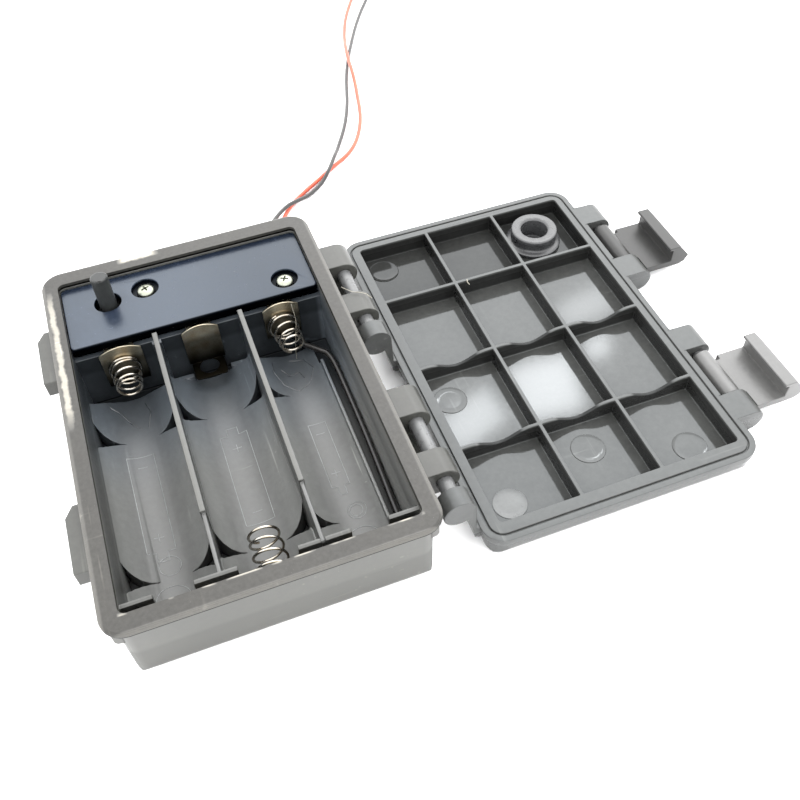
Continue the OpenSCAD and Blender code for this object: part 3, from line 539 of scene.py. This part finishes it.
def battery(cx, y0, y1, w, plus_up=True):
    """Outline of a cell with its terminal nub, and its signs."""
    s = 1 if plus_up else -1
    top, bot = (y1, y0) if plus_up else (y0, y1)
    lines = [[(cx - w, bot), (cx + w, bot), (cx + w, top), (cx + w * 0.4, top), (cx + w * 0.4, top + s * 1.9), (cx - w * 0.4, top + s * 1.9),
              (cx - w * 0.4, top), (cx - w, top), (cx - w, bot)]]
    py, my = top - s * 3.2, bot + s * 2.6
    lines += [[(cx - 0.9, py), (cx + 0.9, py)], [(cx, py - 0.9), (cx, py + 0.9)], [(cx - 0.9, my), (cx + 0.9, my)]]
    return lines
raised("marks_left", battery(-18.2, -19.8, 2.4, 2.5, False) + [circle(-17.4, -22.9, 1.95), circle(-17.9, -30.0, 3.0)], on_cradle(-16.9), "mark", "case", 0.07)
raised("marks_middle", battery(-0.1, -20.2, 1.0, 2.7), on_cradle(-0.4), "mark", "case", 0.07)
raised("marks_right", battery(16.0, -17.9, -2.2, 1.75, False) + [circle(17.1, -24.0, 1.75), circle(17.0, -24.0, 1.2), circle(16.4, -30.6, 3.0)], on_cradle(16.2), "mark", "case", 0.07)

def disc(name, x, y, r, mat):
    """A round ejector mark, a shallow disc with a rounded edge."""
    bm = bmesh.new()
    seg, prof = 48, [(0.0, 0.05), (r * 0.6, 0.05), (r - 0.16, 0.05), (r - 0.05, 0.10), (r, 0.06), (r + 0.03, -0.05)]
    rings = []
    for q, h in prof:
        rings.append([bm.verts.new(((x + q * math.cos(2 * math.pi * k / seg)) * MM, (y + q * math.sin(2 * math.pi * k / seg)) * MM, (1.6 + h) * MM)) for k in range(seg if q else 1)])
    for a, b in zip(rings, rings[1:]):
        for k in range(seg):
            if len(a) == 1:
                bm.faces.new((a[0], b[k], b[(k + 1) % seg]))
            else:
                bm.faces.new((a[k], b[k], b[(k + 1) % seg], a[(k + 1) % seg]))
    bm.faces.new(list(reversed(rings[-1])))
    bmesh.ops.recalc_face_normals(bm, faces=bm.faces)
    me = bpy.data.meshes.new(name)
    bm.to_mesh(me)
    bm.free()
    smooth(me, 50)
    return add(name, me, mat, "lid")
disc("ejector_mark_1", 43.5, 34.8, 3.4, "lid")
disc("ejector_mark_2", 43.2, -5.9, 3.4, "lid")
disc("ejector_mark_3", 44.0, -32.6, 3.3, "disc")
disc("ejector_mark_4", 63.3, -26.7, 3.4, "lid")
disc("ejector_mark_5", 81.7, -33.4, 3.4, "lid")

# ------------------------------------------------------------------ fibres, burrs and glue
def strand(name, pts, r, mat, body):
    return add(name, tube(name, [Vector(q) * MM for q in catmull(pts, 6)], r * MM, 8), mat, body)

strand("hair_hinge", [(29.0, 18.4, 16.6), (29.6, 18.1, 16.2), (30.9, 17.3, 15.6), (32.2, 16.6, 15.58), (33.4, 15.9, 15.3), (34.3, 15.0, 14.7)], 0.06, "fibre", "case")
strand("fibre_bay", [(18.2, 17.4, 16.6), (18.5, 17.0, 12.4), (18.0, 16.6, 8.9), (17.4, 16.2, 5.2), (17.2, 15.8, 2.35)], 0.05, "fibre", "case")
raised("glue_right", [[(11.9, 15.6), (11.6, 12.6), (12.7, 9.2), (15.2, 7.2), (18.0, 8.4), (19.7, 11.6), (18.4, 14.8), (15.6, 15.9)], [(13.2, 13.6), (14.4, 11.6), (16.6, 12.2), (17.2, 10.2)]], on_cradle(16.2), "glue", "case", 0.10)
raised("glue_left", [[(-21.6, 15.8), (-19.9, 14.2), (-18.4, 11.2), (-17.0, 9.6)], [(-14.9, 15.4), (-14.2, 12.6), (-15.3, 9.2)]], on_cradle(-16.9), "glue", "case", 0.10)
strand("burr_rib", [(58.3, 19.9, 5.5), (58.0, 20.3, 6.0), (58.1, 20.9, 6.25)], 0.09, "fibre", "lid")

# ------------------------------------------------------------------ cover screws
def screw_mesh(name, x, y, turn):
    """Pan head with a cross recess, and the shank under it."""
    bm = bmesh.new()
    rings, prof = [], [(0.0, 16.95), (0.5, 16.93), (1.0, 16.86), (1.4, 16.70), (1.66, 16.48), (1.78, 16.22), (1.80, 15.86), (0.9, 15.84), (0.88, 9.3), (0.0, 9.2)]
    seg = 40
    for r, z in prof:
        if r == 0:
            rings.append([bm.verts.new((x, y, z))])
        else:
            rings.append([bm.verts.new((x + r * math.cos(2 * math.pi * k / seg), y + r * math.sin(2 * math.pi * k / seg), z)) for k in range(seg)])
    for a, b in zip(rings, rings[1:]):
        for k in range(seg):
            if len(a) == 1:
                bm.faces.new((a[0], b[k], b[(k + 1) % seg]))
            elif len(b) == 1:
                bm.faces.new((a[k], b[0], a[(k + 1) % seg]))
            else:
                bm.faces.new((a[k], b[k], b[(k + 1) % seg], a[(k + 1) % seg]))
    bmesh.ops.recalc_face_normals(bm, faces=bm.faces)
    bmesh.ops.scale(bm, vec=(MM, MM, MM), verts=bm.verts)
    me = bpy.data.meshes.new(name)
    bm.to_mesh(me)
    bm.free()
    o = bpy.data.objects.new(name, me)
    scene.collection.objects.link(o)
    # cross recess
    cb = bmesh.new()
    for t in (turn, turn + math.pi / 2):
        r = bmesh.ops.create_cube(cb, size=1)
        vs = r["verts"]
        for v in vs:
            taper = 1.0 if v.co.z > 0 else 0.55
            v.co = Vector((v.co.x * 2.2 * taper, v.co.y * 0.50 * taper, v.co.z * 1.4))
        bmesh.ops.rotate(cb, verts=vs, cent=(0, 0, 0), matrix=Matrix.Rotation(t, 3, "Z"))
        bmesh.ops.translate(cb, verts=vs, vec=(x, y, 16.95))
    bmesh.ops.scale(cb, vec=(MM, MM, MM), verts=cb.verts)
    cm = bpy.data.meshes.new(name + "_cut")
    cb.to_mesh(cm)
    cb.free()
    co = bpy.data.objects.new(name + "_cut", cm)
    scene.collection.objects.link(co)
    m = o.modifiers.new("cross", "BOOLEAN")
    m.operation, m.object, m.solver = "DIFFERENCE", co, "EXACT"
    m.use_self = True
    bpy.context.view_layer.update()
    bake(o)
    bpy.data.objects.remove(co)
    smooth(o.data, 35)
    o.data.materials.clear()
    o.data.materials.append(M["zinc"])
    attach(o, "case")
    return o

s1 = screw_mesh("screw_left", -8.3, 32.6, 0.35)
s2 = screw_mesh("screw_right", 18.9, 24.8, 1.1)
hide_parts("cover_screws")

# ------------------------------------------------------------------ floor, light
def make_floor():
    me = bpy.data.meshes.new("floor")
    s = 3.0
    me.from_pydata([(-s, -s, 0), (s, -s, 0), (s, s, 0), (-s, s, 0)], [], [(0, 1, 2, 3)])
    o = bpy.data.objects.new("floor", me)
    scene.collection.objects.link(o)
    a = Mat("floor_paper").set(Roughness=0.9)
    a.set(Specular_IOR_Level=0.1)
    a.b.inputs["Base Color"].default_value = (0.93, 0.93, 0.935, 1)
    me.materials.append(a.m)

make_floor()

def area(name, loc, target, size, power, size_y=None, color=(1, 1, 1)):
    d = bpy.data.lights.new(name, "AREA")
    d.energy, d.color = power, color
    d.shape, d.size, d.size_y = "RECTANGLE", size, size_y or size
    o = bpy.data.objects.new(name, d)
    o.location = loc
    o.rotation_euler = (Vector(target) - Vector(loc)).to_track_quat("-Z", "Y").to_euler()
    scene.collection.objects.link(o)
    return o

world = bpy.data.worlds.new("world")
scene.world = world
world.use_nodes = True
bg = world.node_tree.nodes["Background"]
bg.inputs["Color"].default_value = (1.0, 1.0, 1.0, 1)
bg.inputs["Strength"].default_value = 3.3

def card(name, centre, x, y, w, h, turn, radiance):
    """A window of light that the tray floors mirror; x and y place it on a plane square to the mirrored view."""
    r0 = Vector((0.34511, 0.54446, 0.76450))
    xr, yr = Vector((0.84462, -0.53536, 0)), Vector((-0.40928, -0.64572, 0.64462))
    c = Vector(centre) + x * xr + y * yr
    d = bpy.data.lights.new(name, "AREA")
    d.shape, d.size, d.size_y = "RECTANGLE", w * MM, h * MM
    d.energy = radiance * math.pi * w * h * MM * MM
    o = bpy.data.objects.new(name, d)
    u = math.cos(turn) * xr + math.sin(turn) * yr
    v = -math.sin(turn) * xr + math.cos(turn) * yr
    o.matrix_world = Matrix((u, v, u.cross(v))).transposed().to_4x4()
    if (u.cross(v)).dot(-r0) > 0:
        o.matrix_world = Matrix((u, -v, -u.cross(v))).transposed().to_4x4()
    o.matrix_world.translation = c * MM
    scene.collection.objects.link(o)
    return o

CEN = (267.5, 317.4, 460.3)
card("window_a", CEN, -51.1, 36.9, 56, 31, math.radians(-46.4), 11)
card("window_b", CEN, 9.4, -1.4, 54, 46, math.radians(-25.4), 13)
card("window_c", CEN, 49.0, -41.6, 20, 16, math.radians(-31.6), 12)
card("window_d", CEN, 30.9, -76.6, 46, 22, math.radians(-34.7), 6)
card("sky", (450, 600, 830), -60, 0, 1100, 800, 0.0, 2.2)

scene.view_settings.view_transform = "Standard"
scene.view_settings.look = "None"
scene.view_settings.exposure = 0.0
